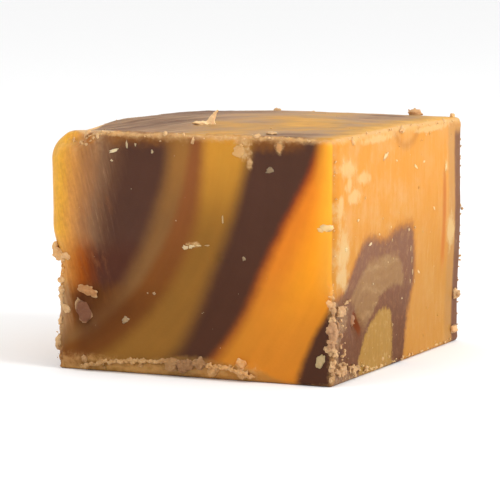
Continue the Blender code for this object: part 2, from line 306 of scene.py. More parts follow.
# start, end, how many, smallest and largest half size
crumbRows = {
    "frontFoot": ((-0.88, -1, -0.92), (0.50, -1, -0.92), 14, 0.00024, 0.00060),
    "leftEdge": ((-1, -0.97, -0.88), (-1, -0.97, -0.15), 8, 0.00024, 0.00050),
    "noseEdge": ((1, -1, -0.88), (1, -1, -0.30), 8, 0.00022, 0.00050),
    "rightFoot": ((1, -0.70, -0.95), (1, 0.86, -0.95), 6, 0.00018, 0.00036),
    "frontRim": ((-0.70, -1, 0.98), (0.90, -1, 0.98), 7, 0.00018, 0.00036),
    "rightRim": ((1, -0.80, 0.98), (1, 0.90, 0.98), 5, 0.00018, 0.00032),
    "backEdge": ((1, 0.98, -0.80), (1, 0.98, 0.85), 5, 0.00018, 0.00034),
    "backFoot": ((-0.90, 1, -0.92), (0.90, 1, -0.92), 12, 0.00024, 0.00062),
    "backRim": ((-0.90, 1, 0.98), (0.85, 1, 0.98), 6, 0.00018, 0.00036),
    "leftFoot": ((-1, -0.85, -0.93), (-1, 0.90, -0.93), 9, 0.00022, 0.00056),
    "leftRim": ((-1, -0.60, 0.96), (-1, 0.85, 0.96), 6, 0.00018, 0.00034),
    "farEdge": ((-1, 1, -0.85), (-1, 1, 0.70), 6, 0.00022, 0.00044),
}
# Chains of finer crumbs: path, how many, smallest and largest half size, how far they stray
crumbChains = {
    "frontLip": (
        [(-0.80, -1.02, -0.96), (-0.62, -1.02, -0.91), (-0.40, -1.02, -0.87), (-0.15, -1.02, -0.86),
         (0.08, -1.02, -0.88), (0.30, -1.02, -0.90), (0.45, -1.02, -0.95)],
        420, 0.00006, 0.00022, 0.00018),
    "frontRim": ([(-0.75, -1, 0.985), (0.92, -1, 0.985)], 80, 0.00004, 0.00015, 0.00030),
    "rimDrip": ([(0.33, -1, 0.98), (0.41, -1, 0.80)], 14, 0.00004, 0.00010, 0.00035),
    "rightRim": ([(1, -0.95, 0.985), (1, 0.95, 0.985)], 80, 0.00004, 0.00013, 0.00025),
    "rightFoot": ([(1, -0.85, -0.965), (1, 0.92, -0.965)], 140, 0.00005, 0.00014, 0.00016),
    "noseLow": ([(1, -1, -0.93), (1, -1, -0.28)], 90, 0.00008, 0.00026, 0.00035),
    "noseHigh": ([(1, -1, -0.28), (1, -1, 0.95)], 40, 0.00005, 0.00011, 0.00020),
    "noseShelf": (
        [(1, -1, -0.44), (1, -0.88, -0.38), (1, -0.76, -0.34)], 40, 0.00007, 0.00018, 0.00025),
    "noseFloor": (
        [(1, -0.96, -0.90), (1, -0.72, -0.88), (1, -0.50, -0.94)], 80, 0.00007, 0.00024, 0.00035),
    "leftLow": ([(-1, -1, -0.93), (-1, -1, 0.02)], 55, 0.00005, 0.00018, 0.00035),
    "leftHigh": ([(-1, -1, 0.02), (-1, -1, 0.80)], 9, 0.00004, 0.00009, 0.00030),
    "noseFace": (
        [(1, -0.97, -0.42), (1, -0.88, -0.62), (1, -0.92, -0.90)], 80, 0.00006, 0.00022, 0.00060),
    "notch": (
        [(-0.76, -1.0, 0.95), (-0.70, -1.0, 0.88), (-0.62, -1.0, 0.98)], 40, 0.00005, 0.00015, 0.00010),
    "notchSpike": ([(-0.735, -0.97, 1.0), (-0.685, -0.98, 1.04)], 12, 0.00012, 0.00030, 0.00008),
    "leftCorner": ([(-0.86, -0.95, 1.0), (-0.76, -0.98, 1.0)], 14, 0.00004, 0.00014, 0.00035),
    "cornerRim": ([(-0.97, -0.60, 0.99), (-0.99, 0.2, 0.99)], 24, 0.00005, 0.00014, 0.00020),
    "backEdge": ([(1, 1, -0.92), (1, 1, 0.92)], 60, 0.00005, 0.00016, 0.00025),
    "backFoot": ([(-0.95, 1, -0.95), (0.95, 1, -0.95)], 150, 0.00006, 0.00022, 0.00025),
    "backRim": ([(-0.95, 1, 0.985), (0.95, 1, 0.985)], 80, 0.00005, 0.00014, 0.00022),
    "leftFoot": ([(-1, -0.95, -0.95), (-1, 0.95, -0.95)], 150, 0.00006, 0.00022, 0.00025),
    "leftRim": ([(-1, -0.60, 0.97), (-1, 0.95, 0.985)], 80, 0.00005, 0.00014, 0.00022),
    "farEdge": ([(-1, 1, -0.92), (-1, 1, 0.85)], 60, 0.00005, 0.00018, 0.00030),
}
crumbs = {
    "scatter": 0.0005,
    "squash": (0.62, 1.25),
    "lowest": 0.000105,  # how far above the floor they end, and how far once they are rough
    "lowestRough": 0.00002,
    "seed": 29,
    "lobeSeed": 7,
    "lobes": (8, 13),
    "lobeSize": (0.24, 0.50),
    "lobeTilt": 0.5,
    "lobeStretch": (0.6, 1.2),
    "lobeGrain": 1.5,
    "core": 0.78,  # of the crumb's half sizes
    "fineStretch": (0.6, 1.4),  # of the chains' crumbs
    "smoothLobes": (2, 4),
    "smooth": ("rimSmear", "rimDrip", "backRimBump", "chipFlake"),  # pressed, not broken
    "roughness": 0.45,
    "fineRoughness": 0.6,
    "voxel": 0.00007,
    "grain": 0.00017,  # length of the finest roughness
    "grainHeight": 0.00003,
    "tintFade": (1.15, 3.5),  # where a tint ends, in shares of its reach, and how sharply
}

# Torn flakes keep a colour of their own: colour, how strong it is, how far it reaches
crumbTints = {
    "chipFlake": ("#6c4230", 0.92, 0.78),
    "chipCap": ("#a06c40", 0.75, 0.95),
    "rimSmear": ("#c8985e", 0.85, 1.4),
    "rimDrip": ("#b88450", 0.85, 1.4),
    "horn": ("#ecc898", 0.80, 1.2),
    "rightBeadLow": ("#dcb080", 0.60, 1.3),
    "curl": ("#8c6248", 0.85, 1.4),
    "footClumpMid": ("#7c5438", 0.65, 1.1),
    "footClumpLeft": ("#8e6640", 0.60, 1.1),
    "footClumpRight": ("#7c5438", 0.50, 1.1),
    "backRimBump": ("#c09468", 0.85, 1.4),
    "noseFlake": ("#a8946c", 0.85, 1.2),
    "noseLump": ("#94684c", 0.55, 1.2),
    "noseShelf": ("#a87c58", 0.40, 1.2),
    "noseFootLump": ("#a07450", 0.40, 1.2),
    "hornFoot": ("#cfa274", 0.80, 1.4),
}


def addLobe(shape, middle, halfSizes, rotation, subdivisions, roughness):
    made = bmesh.ops.create_icosphere(shape, subdivisions=subdivisions, radius=1.0)
    sized = rotation @ Matrix.Diagonal(Vector(halfSizes))
    for vertex in made["verts"]:
        rough = 1 + roughness * noise.noise(vertex.co * crumbs["lobeGrain"] + middle / raggedLength)
        vertex.co = middle + sized @ (vertex.co * rough)


def addNugget(shape, middle, halfSizes, turn, draw, lobes):
    # a core with smaller lumps broken out of it all round, as flat as the core
    rotation = turn.to_matrix()
    core = [size * crumbs["core"] for size in halfSizes]
    addLobe(shape, middle, core, rotation, 3, crumbs["roughness"])
    for _ in range(draw.randint(*lobes)):
        way = Vector([draw.gauss(0, 1) for _ in range(3)]).normalized()
        share = draw.uniform(*crumbs["lobeSize"])
        offset = Vector([v * size * (1.05 - share * 0.7) for v, size in zip(way, halfSizes)])
        sizes = [size * share * draw.uniform(*crumbs["lobeStretch"]) for size in halfSizes]
        tilt = Euler([draw.uniform(-1, 1) * crumbs["lobeTilt"] for _ in range(3)]).to_matrix()
        addLobe(shape, middle + rotation @ offset, sizes, rotation @ tilt, 1, crumbs["roughness"])


def addChains(shape, draw):
    for path, count, smallest, largest, stray in crumbChains.values():
        for _ in range(count):
            along = draw.random() * (len(path) - 1)
            first = min(int(along), len(path) - 2)
            place = Vector(path[first]).lerp(Vector(path[first + 1]), along - first)
            place += Vector([draw.gauss(0, 0.5) * stray / side for side in half])
            size = smallest + (largest - smallest) * draw.random() ** 2
            sizes = [size * draw.uniform(*crumbs["fineStretch"]) for _ in range(3)]
            turn = Euler([draw.uniform(0, math.tau) for _ in range(3)]).to_matrix()
            addLobe(shape, ontoSurface(place), sizes, turn, 1, crumbs["fineRoughness"])


def addHorn(shape):
    # a flat cone that leans over more and more towards its tip
    bmesh.ops.create_cone(
        shape, cap_ends=True, segments=horn["sides"], radius1=1.0, radius2=horn["tip"], depth=1.0
    )
    upright = [e for e in shape.edges if abs(e.verts[0].co.z - e.verts[1].co.z) > 0.5]
    bmesh.ops.subdivide_edges(shape, edges=upright, cuts=horn["rings"])
    foot = ontoSurface(horn["foot"])
    for vertex in shape.verts:
        up = vertex.co.z + 0.5
        rough = 1 + horn["roughness"] * noise.noise(vertex.co * horn["grain"])
        side = vertex.co.x * horn["halfWidth"] * rough + horn["lean"] * up**2
        back = vertex.co.y * horn["halfThickness"] * rough
        height = up * horn["height"] * horn["stretch"] - horn["sunk"]
        vertex.co = foot + Vector((side, back, height))


def applied(piece):
    # the mesh as its modifiers leave it
    evaluated = piece.evaluated_get(bpy.context.evaluated_depsgraph_get())
    mesh = bpy.data.meshes.new_from_object(evaluated)
    piece.modifiers.clear()
    old = piece.data
    piece.data = mesh
    bpy.data.meshes.remove(old)


def hexParts(code):
    # a hex colour as linear values
    parts = [int(code[i:i + 2], 16) / 255 for i in (1, 3, 5)]
    return [p / 12.92 if p <= 0.04045 else ((p + 0.055) / 1.055) ** 2.4 for p in parts]


def tintCrumbs(mesh):
    tint = mesh.color_attributes.new("tint", "FLOAT_COLOR", "POINT")
    for cell in tint.data:
        cell.color = (0.0, 0.0, 0.0, 0.0)
    tree = kdtree.KDTree(len(mesh.vertices))
    for vertex in mesh.vertices:
        tree.insert(vertex.co, vertex.index)
    tree.balance()
    fadeEnd, sharpness = crumbs["tintFade"]
    for name, (code, strength, reach) in crumbTints.items():
        place, halfSizes, degrees = loneCrumbs.get(name, horn["tinted"])
        back = Euler([math.radians(angle) for angle in degrees]).to_matrix().transposed()
        centre = ontoSurface(place)
        parts = hexParts(code)
        for point, number, _ in tree.find_range(centre, 2 * max(halfSizes)):
            local = back @ (point - centre)
            away = math.hypot(local.x / halfSizes[0], local.z / halfSizes[2]) / reach
            amount = strength * max(0.0, min(1.0, (fadeEnd - away) * sharpness))
            if amount > tint.data[number].color[3]:
                tint.data[number].color = (*parts, amount)


def makeCrumbs():
    shape = bmesh.new()
    addHorn(shape)
    lobeDraw = random.Random(crumbs["lobeSeed"])
    for name, (place, halfSizes, degrees) in loneCrumbs.items():
        turn = Euler([math.radians(angle) for angle in degrees])
        lobes = crumbs["smoothLobes"] if name in crumbs["smooth"] else crumbs["lobes"]
        addNugget(shape, ontoSurface(place), halfSizes, turn, lobeDraw, lobes)
    draw = random.Random(crumbs["seed"])
    for start, end, count, smallest, largest in crumbRows.values():
        for _ in range(count):
            place = Vector(start).lerp(Vector(end), draw.random())
            place += Vector([draw.uniform(-1, 1) * crumbs["scatter"] / side for side in half])
            place = [max(-1.0, min(1.0, along)) for along in place]
            size = smallest + (largest - smallest) * draw.random() ** 2
            halfSizes = [size * draw.uniform(*crumbs["squash"]) for _ in range(3)]
            turn = Euler([draw.uniform(0, math.tau) for _ in range(3)])
            addNugget(shape, surface(place), halfSizes, turn, lobeDraw, crumbs["lobes"])
    addChains(shape, lobeDraw)
    for vertex in shape.verts:
        vertex.co.z = max(crumbs["lowest"], vertex.co.z)
    piece = newPiece("edgeCrumbs", shape)
    fuse = piece.modifiers.new("fuse", "REMESH")
    fuse.mode = "VOXEL"
    fuse.voxel_size = crumbs["voxel"]
    fuse.use_smooth_shade = True
    applied(piece)
    normals = [vertex.normal.copy() for vertex in piece.data.vertices]
    for vertex, normal in zip(piece.data.vertices, normals):
        rough = noise.noise(vertex.co / crumbs["grain"])
        vertex.co += normal * rough * crumbs["grainHeight"]
        vertex.co.z = max(crumbs["lowestRough"], vertex.co.z)
    tintCrumbs(piece.data)
    return piece


edgeCrumbs = makeCrumbs()
print("crumbs made:", len(edgeCrumbs.data.polygons), "faces")

# Flecks stuck on the cut faces. On the front: from the left and up, half length, half width, turn
# and how pale
flecks = {
    "front": [
        (6.64, 20.19, 0.45, 0.13, 14, 0.8), (6.46, 19.31, 0.13, 0.11, 0, 0.5),
        (7.9, 20.87, 0.12, 0.32, 0, 0.5), (8.7, 20.87, 0.10, 0.14, 0, 0.4),
        (10.25, 20.34, 0.10, 0.18, 10, 0.4), (21.3, 19.01, 0.36, 0.26, 10, 0.22),
        (16.8, 14.41, 0.08, 0.36, 5, 0.3), (13.3, 11.76, 0.32, 0.20, 0, 0.6),
        (13.9, 11.86, 0.28, 0.18, 20, 0.6), (14.6, 11.96, 0.24, 0.10, 0, 0.4),
        (15.4, 12.01, 0.26, 0.07, 5, 0.3), (18.9, 10.88, 0.16, 0.18, 0, 0.25),
        (10.1, 7.55, 0.15, 0.15, 0, 0.25), (7.11, 5, 0.38, 0.28, 15, 0.30),
        (26.6, 14.11, 0.70, 0.36, 4, 0.6), (26, 13.92, 0.30, 0.22, 0, 0.5),
        (9.44, 7.55, 0.08, 0.08, 0, 0.3),
    ],
    # on the right: back from the nose and up
    "right": [
        (8.5, 11.9, 0.34, 0.14, 10, 0.6), (11.6, 19.6, 0.55, 0.22, 20, 0.6),
        (19.2, 18.0, 0.50, 0.14, -25, 0.6), (21.2, 18.4, 0.22, 0.12, 0, 0.6),
        (24.0, 13.8, 0.30, 0.12, -30, 0.6), (20.5, 8.0, 0.28, 0.12, -30, 0.6),
        (14.4, 18.9, 0.20, 0.10, 0, 0.5), (18.2, 10.4, 0.10, 0.28, 0, 0.36),
        (18.6, 9.3, 0.09, 0.32, 0, 0.34), (18.9, 8.1, 0.10, 0.26, 0, 0.36),
        (18.3, 7.3, 0.09, 0.20, 0, 0.32), (19.4, 7.2, 0.09, 0.16, 0, 0.32),
        (9.4, 8.0, 0.14, 0.10, 0, 0.36), (12.9, 9.6, 0.10, 0.08, 0, 0.36),
        (27.4, 17.4, 0.16, 0.30, 0, 0.5), (2.4, 12.0, 0.20, 0.16, 0, 0.5),
        (5.0, 14.4, 0.24, 0.12, 10, 0.5), (16.2, 5.9, 0.12, 0.10, 0, 0.5),
        (10.6, 12.6, 0.16, 0.10, 0, 0.5), (13.4, 12.9, 0.12, 0.10, 0, 0.4),
        (17.6, 12.2, 0.14, 0.16, 0, 0.5),
    ],
    "thickness": 0.06,
    "roughness": 0.9,
    "scattered": 150,
    "spread": (0.96, 0.94),  # of the block's half sizes
    "smallest": 0.035,
    "largest": 0.10,
    "stretch": (0.7, 1.3),
    "rightHeight": 1.5,  # the scattered ones on the right stand upright
    "frontSize": 0.7,  # and those on the front are smaller
    "paleness": (0.10, 0.36),  # of the scattered ones
    "seed": 5,
}


def addFleck(shape, place, halfSizes, rotation, paleness):
    before = len(shape.verts)
    sizes = [size * millimetre for size in halfSizes]
    addLobe(shape, ontoSurface(place), sizes, rotation, 2, flecks["roughness"])
    shape.verts.ensure_lookup_table()
    layer = shape.verts.layers.float["pale"]
    for vertex in shape.verts[before:]:
        vertex[layer] = paleness


def makeFlecks():
    shape = bmesh.new()
    shape.verts.layers.float.new("pale")
    flat = flecks["thickness"]
    wide, deep, high = [2 * side / millimetre for side in half]
    for across, up, length, width, degrees, paleness in flecks["front"]:
        place = (2 * across / wide - 1, -1, 2 * up / high - 1)
        turn = Matrix.Rotation(math.radians(-degrees), 3, "Y")
        addFleck(shape, place, (length, flat, width), turn, paleness)
    for back, up, length, width, degrees, paleness in flecks["right"]:
        place = (1, 2 * back / deep - 1, 2 * up / high - 1)
        turn = Matrix.Rotation(math.radians(degrees), 3, "X")
        addFleck(shape, place, (flat, length, width), turn, paleness)
    draw = random.Random(flecks["seed"])
    for number in range(flecks["scattered"]):
        across, up = [draw.uniform(-spread, spread) for spread in flecks["spread"]]
        size = flecks["smallest"] + (flecks["largest"] - flecks["smallest"]) * draw.random() ** 3
        sizes = [size * draw.uniform(*flecks["stretch"]) for _ in range(3)]
        left, right = (-1, across, up), (1, across, up)
        front, back, above = (across, -1, up), (across, 1, up), (across, up, 1)
        # of eight in a row, three lie on the right and two on the top
        place = (right, right, right, left, back, above, above, front)[number % 8]
        if place is right:
            sizes[2] *= flecks["rightHeight"]
        elif place is front:
            sizes = [size * flecks["frontSize"] for size in sizes]
        paleness = draw.uniform(*flecks["paleness"])
        addFleck(shape, place, sizes, Matrix.Identity(3), paleness)
    return newPiece("flecks", shape)


looseFlecks = makeFlecks()
print("flecks made:", len(looseFlecks.data.polygons), "faces")


# Shader maths as expressions: a wire is a socket that adds, subtracts, multiplies and divides.
class wire:
    def __init__(self, sketch, socket):
        self.sketch = sketch
        self.socket = socket

    def maths(self, operation, first, second):
        values = {0: first, 1: second}
        return self.sketch.node("ShaderNodeMath", {"operation": operation}, values)

    def __add__(self, other):
        return self.maths("ADD", self, other)

    def __radd__(self, other):
        return self.maths("ADD", other, self)

    def __sub__(self, other):
        return self.maths("SUBTRACT", self, other)

    def __rsub__(self, other):
        return self.maths("SUBTRACT", other, self)

    def __mul__(self, other):
        return self.maths("MULTIPLY", self, other)

    def __rmul__(self, other):
        return self.maths("MULTIPLY", other, self)

    def __truediv__(self, other):
        return self.maths("DIVIDE", self, other)


class shaderSketch:
    def __init__(self, name):
        self.material = bpy.data.materials.new(name)
        self.material.use_nodes = True
        self.tree = self.material.node_tree
        self.shader = self.tree.nodes["Principled BSDF"]

    def join(self, socket, value):
        if isinstance(value, wire):
            self.tree.links.new(value.socket, socket)
        else:
            socket.default_value = value

    def node(self, kind, settings=None, values=None, output=0):
        made = self.tree.nodes.new(kind)
        for name, value in (settings or {}).items():
            if name == "stops":
                self.setStops(made.color_ramp, value)
            elif name == "curve":
                self.setCurve(made.mapping, value)
            else:
                setattr(made, name, value)
        for name, value in (values or {}).items():
            self.join(made.inputs[name], value)
        return wire(self, made.outputs[output])

    def setStops(self, ramp, stops):
        while len(ramp.elements) < len(stops):
            ramp.elements.new(1.0)
        for element, (position, shade) in zip(ramp.elements, stops):
            element.position = position
            element.color = shade

    def setCurve(self, mapping, points):
        line = mapping.curves[0].points
        while len(line) < len(points):
            line.new(0.5, 0.5)
        for point, place in zip(line, points):
            point.location = place
        mapping.update()

    def root(self, value):
        return self.node("ShaderNodeMath", {"operation": "SQRT"}, {0: value})

    def length(self, first, second):
        return self.root(first * first + second * second)

    def nearest(self, across, up, ovals):
        # how far inside the nearest oval: 1 at its middle and 0 at its edge
        inside = None
        for middleAcross, middleUp, width, height in ovals:
            inner = 1 - self.length((across - middleAcross) / width, (up - middleUp) / height)
            inside = inner if inside is None else self.most(inside, inner)
        return inside

    def least(self, first, second):
        return self.node("ShaderNodeMath", {"operation": "MINIMUM"}, {0: first, 1: second})

    def most(self, first, second):
        return self.node("ShaderNodeMath", {"operation": "MAXIMUM"}, {0: first, 1: second})

    def step(self, value, low, high):
        # 0 below low, 1 above high and smooth between them
        values = {"Value": value, "From Min": low, "From Max": high}
        return self.node("ShaderNodeMapRange", {"interpolation_type": "SMOOTHSTEP"}, values)

    def band(self, value, low, high, softness):
        return self.step(value, low - softness, low + softness) * (
            1 - self.step(value, high - softness, high + softness))

    def mix(self, factor, first, second):
        values = {0: factor, 6: first, 7: second}
        return self.node("ShaderNodeMix", {"data_type": "RGBA"}, values, output=2)

    def stretched(self, vector, scales):
        return self.node("ShaderNodeVectorMath", {"operation": "MULTIPLY"}, {0: vector, 1: scales})

    def noise(self, vector, scale, detail=2.0, roughness=0.5):
        # about -1 to 1
        values = {"Vector": vector, "Scale": scale, "Detail": detail, "Roughness": roughness}
        return self.node("ShaderNodeTexNoise", {"noise_dimensions": "3D"}, values) * 2 - 1

    def profile(self, value, points, reach=48.0):
        # a smooth line through points, each a value and what it gives, all from 0 to reach
        curve = [(first / reach, second / reach) for first, second in points]
        return self.node("ShaderNodeFloatCurve", {"curve": curve}, {"Value": value / reach}) * reach

    def blended(self, first, second, reach):
        # the smaller of two, with a soft turn where they meet
        return self.node("ShaderNodeMath", {"operation": "SMOOTH_MIN"}, {0: first, 1: second, 2: reach})

    def joined(self, x, y, z):
        return self.node("ShaderNodeCombineXYZ", {}, {"X": x, "Y": y, "Z": z})

    def split(self, vector):
        parts = self.tree.nodes.new("ShaderNodeSeparateXYZ")
        self.join(parts.inputs[0], vector)
        return [wire(self, parts.outputs[i]) for i in range(3)]

    def lit(self, painted, brightness):
        return self.node("ShaderNodeHueSaturation", {}, {"Color": painted, "Value": brightness})

    def place(self):
        # the point on the piece in millimetres, from the block's left front lower corner
        spot = self.node("ShaderNodeTexCoord", output=3)
        values = {0: spot, "Scale": 1 / millimetre}
        scaled = self.node("ShaderNodeVectorMath", {"operation": "SCALE"}, values)
        corner = [(side - shift) / millimetre for side, shift in zip(half, block["middle"])]
        return self.node("ShaderNodeVectorMath", {"operation": "ADD"}, {0: scaled, 1: (*corner, 0.0)})


def colour(code):
    return (*hexParts(code), 1.0)


# What a face's light makes of a colour: how much brighter it shows, and the sheen over it.
light = {
    "front": (1.15, 0.009),
    "right": (1.64, 0.022),
    "top": (1.45, 0.090),
}


def seen(code, side):
    # the paint that shows as this colour on that side
    brightness, sheen = light[side]
    return (*[max(0.002, (part - sheen) / brightness) for part in hexParts(code)], 1.0)


# The marbling's colours as they show on the striped face, above and below, and between which
# heights one turns into the other. The darker colour below is painted shade towards the foot.
tones = {
    "murky": ("#6e421f", "#5a3218", 20, 4),
    "dark": ("#563a2f", "#513428", 20, 4),
    "oliveGold": ("#9a6a37", "#835c36", 21, 13),
    "redBrown": ("#905732", "#794922", 21, 5),
    "gold": ("#ce9037", "#8e622c", 21.5, 12),
    "redFringe": ("#974524", "#8c4c26", 20, 4),
    "deepOrange": ("#e3832b", "#c87f2c", 15, 3),
    "brightOrange": ("#f69e29", "#d0822c", 12, 3),
    # painted glow: light shining through the front-right edge, painted into its colour
    "edgeGlow": ("#fdb63c", "#e29c44", 20, 4),
}

# The dragged colours at its left end, from the left: how far, and the colour as it shows.
smears = {
    "upper": [(0.3, "#e3a63b"), (1.8, "#cb8d4a"), (3.3, "#a67349"), (4.8, "#856147"),
              (6.3, "#644534"), (7.6, "#563a2f")],
    "ember": [(0.6, "#d3944c"), (1.7, "#b87434"), (2.8, "#9c5018"), (3.7, "#7a3c1a"),
              (5.2, "#553328")],
    "lower": [(0.5, "#b28a60"), (1.8, "#7c4a24"), (2.8, "#522c16"), (4.2, "#603a1c"),
              (7.5, "#784822")],
    "narrowing": [(0, 0.95), (10, 0.88), (14, 0.79), (18.4, 0.97), (22, 1.0)],  # against the height
    "emberHeights": (10.2, 13.0),
    "lowerHeights": (6.6, 8.6),
    "reach": 8.0,
    "slant": (0.97, 0.25),  # the way they were dragged, as the cosine and sine of its turn
    "marks": {  # how fine across and along, levels of detail, roughness
        "lean": (2.2, 0.30, 5.0, 0.68),
        "hair": (3.6, 0.34, 4.0, 0.7),
        "blotch": (0.9, 0.4, 4.0, 0.7),
    },
    "hair": "#c9a27c",
    "hairCover": 0.35,
    "hairAcross": (2.2, 5.8, 1.2),  # from, to, and how soft its ends are
    "hairHeights": (10.5, 13.5),
    "bruise": "#8e5a38",
    "bruiseCover": 0.5,
    "bruiseAcross": (2.0, 5.5, 1.0),
    "roughAcross": (7.5, 5.5),
    "grainyAcross": (3.4, 1.2),
}

# Its stripes are arcs round an axis that runs from front to back. Each starts at a radius that
# changes with the height: pairs of height and radius, in millimetres, then how soft its start is.
stripes = {
    "axis": (-7.5, 22.0),
    "bands": [
        ("oliveGold", [(0, 20.0), (4.1, 20.2), (7.7, 20.0), (10, 19.6), (14, 19.1), (18.4, 19.1),
                       (22, 19.0)], 0.95),
        ("redBrown", [(0, 21.5), (7.7, 21.2), (14.9, 21.0), (22, 21.1)], 0.55),
        ("gold", [(0, 23.6), (4, 23.6), (10, 23.5), (14, 23.1), (18.4, 22.6), (22, 22.5)], 0.85),
        ("dark", [(0, 28.2), (2, 28.0), (5, 27.3), (7.7, 26.7), (10, 26.4), (14, 26.4),
                  (18.4, 26.6), (22, 27.2)], 0.95),
        ("redFringe", [(0, 30.6), (5, 30.6), (10, 30.4), (14, 31.0), (18.4, 32.5),
                       (22, 33.8)], 0.50),
        ("deepOrange", [(0, 31.2), (5, 31.2), (10, 31.0), (14, 31.6), (18.4, 33.1),
                        (22, 34.4)], 0.70),
        ("brightOrange", [(0, 33.6), (7.7, 33.4), (14.9, 34.0), (22, 35.8)], 1.6),
        ("dark", [(0, 38.4), (4.1, 37.6), (7.4, 38.0), (9, 38.7), (12, 41), (22, 46)], 0.45),
    ],
    "wander": 0.16,
    "fineWander": 0.07,
    "wildness": 3.2,  # how far they bend behind the face that shows
    "wildBack": (3.0, 17.0),
    "calmRight": (20.0, 26.0),
    "murkCover": 0.6,
    "murkHeights": (5.6, 8.6),
    "murkAcross": (1.4, 2.8),
    "murkRadii": (21.0, 25.0),
    # the painted glow of light shining through the front-right edge: how strongly, and where
    "glowCover": 0.8,
    "glowAcross": (25.4, 27.5),
    "glowBack": (0.6, 1.6),
    "glowRadii": (31.5, 33.0),
    "glowHeights": (7.0, 9.5),
}


def stripeTone(sketch, name, up):
    above, below, high, low = tones[name]
    # the colour below is darker: painted shade towards the foot
    return sketch.mix(sketch.step(up, high, low), seen(above, "front"), seen(below, "front"))


# The torn rims of the striped face: how far they reach down, and the ridge along its foot
rims = {
    "width": 0.34,
    "cover": 0.80,
    "footCover": 0.65,
    "deep": "#b58450",
    "pale": "#e2bc88",
    # the band under the foot ridge: partly the foot's own golden tone, partly painted shade under the
    # ridge
    "footTone": "#a57840",
    "stained": "#a06428",
    "stain": 0.55,
    "stainReach": (1.7, 0.3),
    "stainAcross": (4.0, 6.5),
    "firstDark": (18.5, 20.0),  # radii between which the first dark stripe ends
    "secondDark": (27.2, 32.0, 0.8),
    "ridge": [(0, 0.3), (2, 0.5), (8, 1.1), (14, 1.9), (17, 1.5), (20, 1.1), (23, 0.2), (28, 0.0)],
    "notch": (3.60, 21.25, 0.62),  # from the left, up and how wide
    "notchTone": "#a4642a",
    "notchCover": 0.8,
    # from the left, up, half length, half height
    "smudges": [(18.8, 21.4, 1.2, 0.9), (19.1, 20.4, 0.9, 1.0), (19.5, 19.5, 0.4, 0.8),
                (22.4, 21.1, 0.6, 0.9), (14.0, 12.1, 1.0, 0.35)],
    "smudgeCover": 0.8,
}


def smearRamp(sketch, name, reach):
    stops = [(along / smears["reach"], seen(code, "front")) for along, code in smears[name]]
    return sketch.node("ShaderNodeValToRGB", {"stops": stops}, {0: reach / smears["reach"]})


def smearedEnd(sketch, spot, wildSlow, fine, finest):
    # the dragged colours, whose reach also wanders behind the face that shows
    across, back, up = sketch.split(spot)
    cosine, sine = smears["slant"]
    lean = across * cosine + up * sine
    climb = up * cosine - across * sine
    marks = {}
    for name, (fineness, along, detail, roughness) in smears["marks"].items():
        drawnOut = sketch.joined(lean * fineness, back * 0.5, climb * along)
        marks[name] = sketch.noise(drawnOut, 1.0, detail, roughness)
    narrowing = sketch.profile(up, smears["narrowing"], reach=22.0)
    reach = (across + wildSlow * 3.0) / narrowing + marks["lean"] * 0.9
    painted = smearRamp(sketch, "upper", reach)
    for name, heights in (("ember", "emberHeights"), ("lower", "lowerHeights")):
        lowered = 1 - sketch.step(up + marks["lean"] * 0.7 + fine * 0.5, *smears[heights])
        painted = sketch.mix(lowered, painted, smearRamp(sketch, name, reach))
    hairy = sketch.step(marks["hair"], 0.05, 0.75) * sketch.band(across, *smears["hairAcross"])
    hairy = hairy * sketch.step(up, *smears["hairHeights"])
    painted = sketch.mix(hairy * smears["hairCover"], painted, seen(smears["hair"], "front"))
    bruised = sketch.step(marks["blotch"], 0.0, 0.5) * sketch.band(across, *smears["bruiseAcross"])
    painted = sketch.mix(bruised * smears["bruiseCover"], painted, seen(smears["bruise"], "front"))
    rough = sketch.step(across, *smears["roughAcross"])
    grainy = sketch.step(across, *smears["grainyAcross"])
    return sketch.lit(painted, 1 + marks["hair"] * 0.28 * rough + finest * 0.22 * grainy)


def tornRims(sketch, spot, painted, radius):
    # the paint with its torn rims above and below, and what they smudged over the face
    across, _, up = sketch.split(spot)
    ragged = sketch.noise(spot, 0.75, 4.0, 0.7)
    mottle = sketch.noise(spot, 2.2, 4.0, 0.7)
    lumpy = sketch.step(mottle, -0.4, 0.5)
    crumbly = sketch.mix(lumpy, seen(rims["deep"], "front"), seen(rims["pale"], "front"))
    fromRim = 2 * half.z / millimetre - up
    stained = sketch.step(fromRim + ragged * 0.8, *rims["stainReach"])
    dark = 1 - sketch.step(radius, *rims["firstDark"]) + sketch.band(radius, *rims["secondDark"])
    dark = sketch.step(across, *rims["stainAcross"]) * dark
    painted = sketch.mix(stained * dark * rims["stain"], painted, seen(rims["stained"], "front"))
    tearing = fromRim + ragged * 0.7 + mottle * 0.12
    torn = sketch.step(tearing, rims["width"] + 0.16, rims["width"] - 0.14)
    ridge = sketch.profile(across, rims["ridge"], reach=28.0)
    # the band under the foot ridge, partly painted shade
    foot = sketch.step(up + ragged * 0.5 - ridge, 0.35, -0.3)
    smudged = sketch.nearest(across, up, rims["smudges"])
    smudged = sketch.step(smudged + mottle * 0.5 + ragged * 0.4, 0.1, 0.7)
    painted = sketch.mix(foot * rims["footCover"], painted, seen(rims["footTone"], "front"))
    notchLeft, notchUp, notchSize = rims["notch"]
    fromNotch = sketch.length((across - notchLeft) / notchSize, (up - notchUp) / notchSize)
    notch = 1 - sketch.step(fromNotch + mottle * 0.2, 0.5, 1.0)
    painted = sketch.mix(notch * rims["notchCover"], painted, seen(rims["notchTone"], "front"))
    cover = sketch.most(torn * rims["cover"], smudged * rims["smudgeCover"])
    return sketch.mix(cover, painted, crumbly)


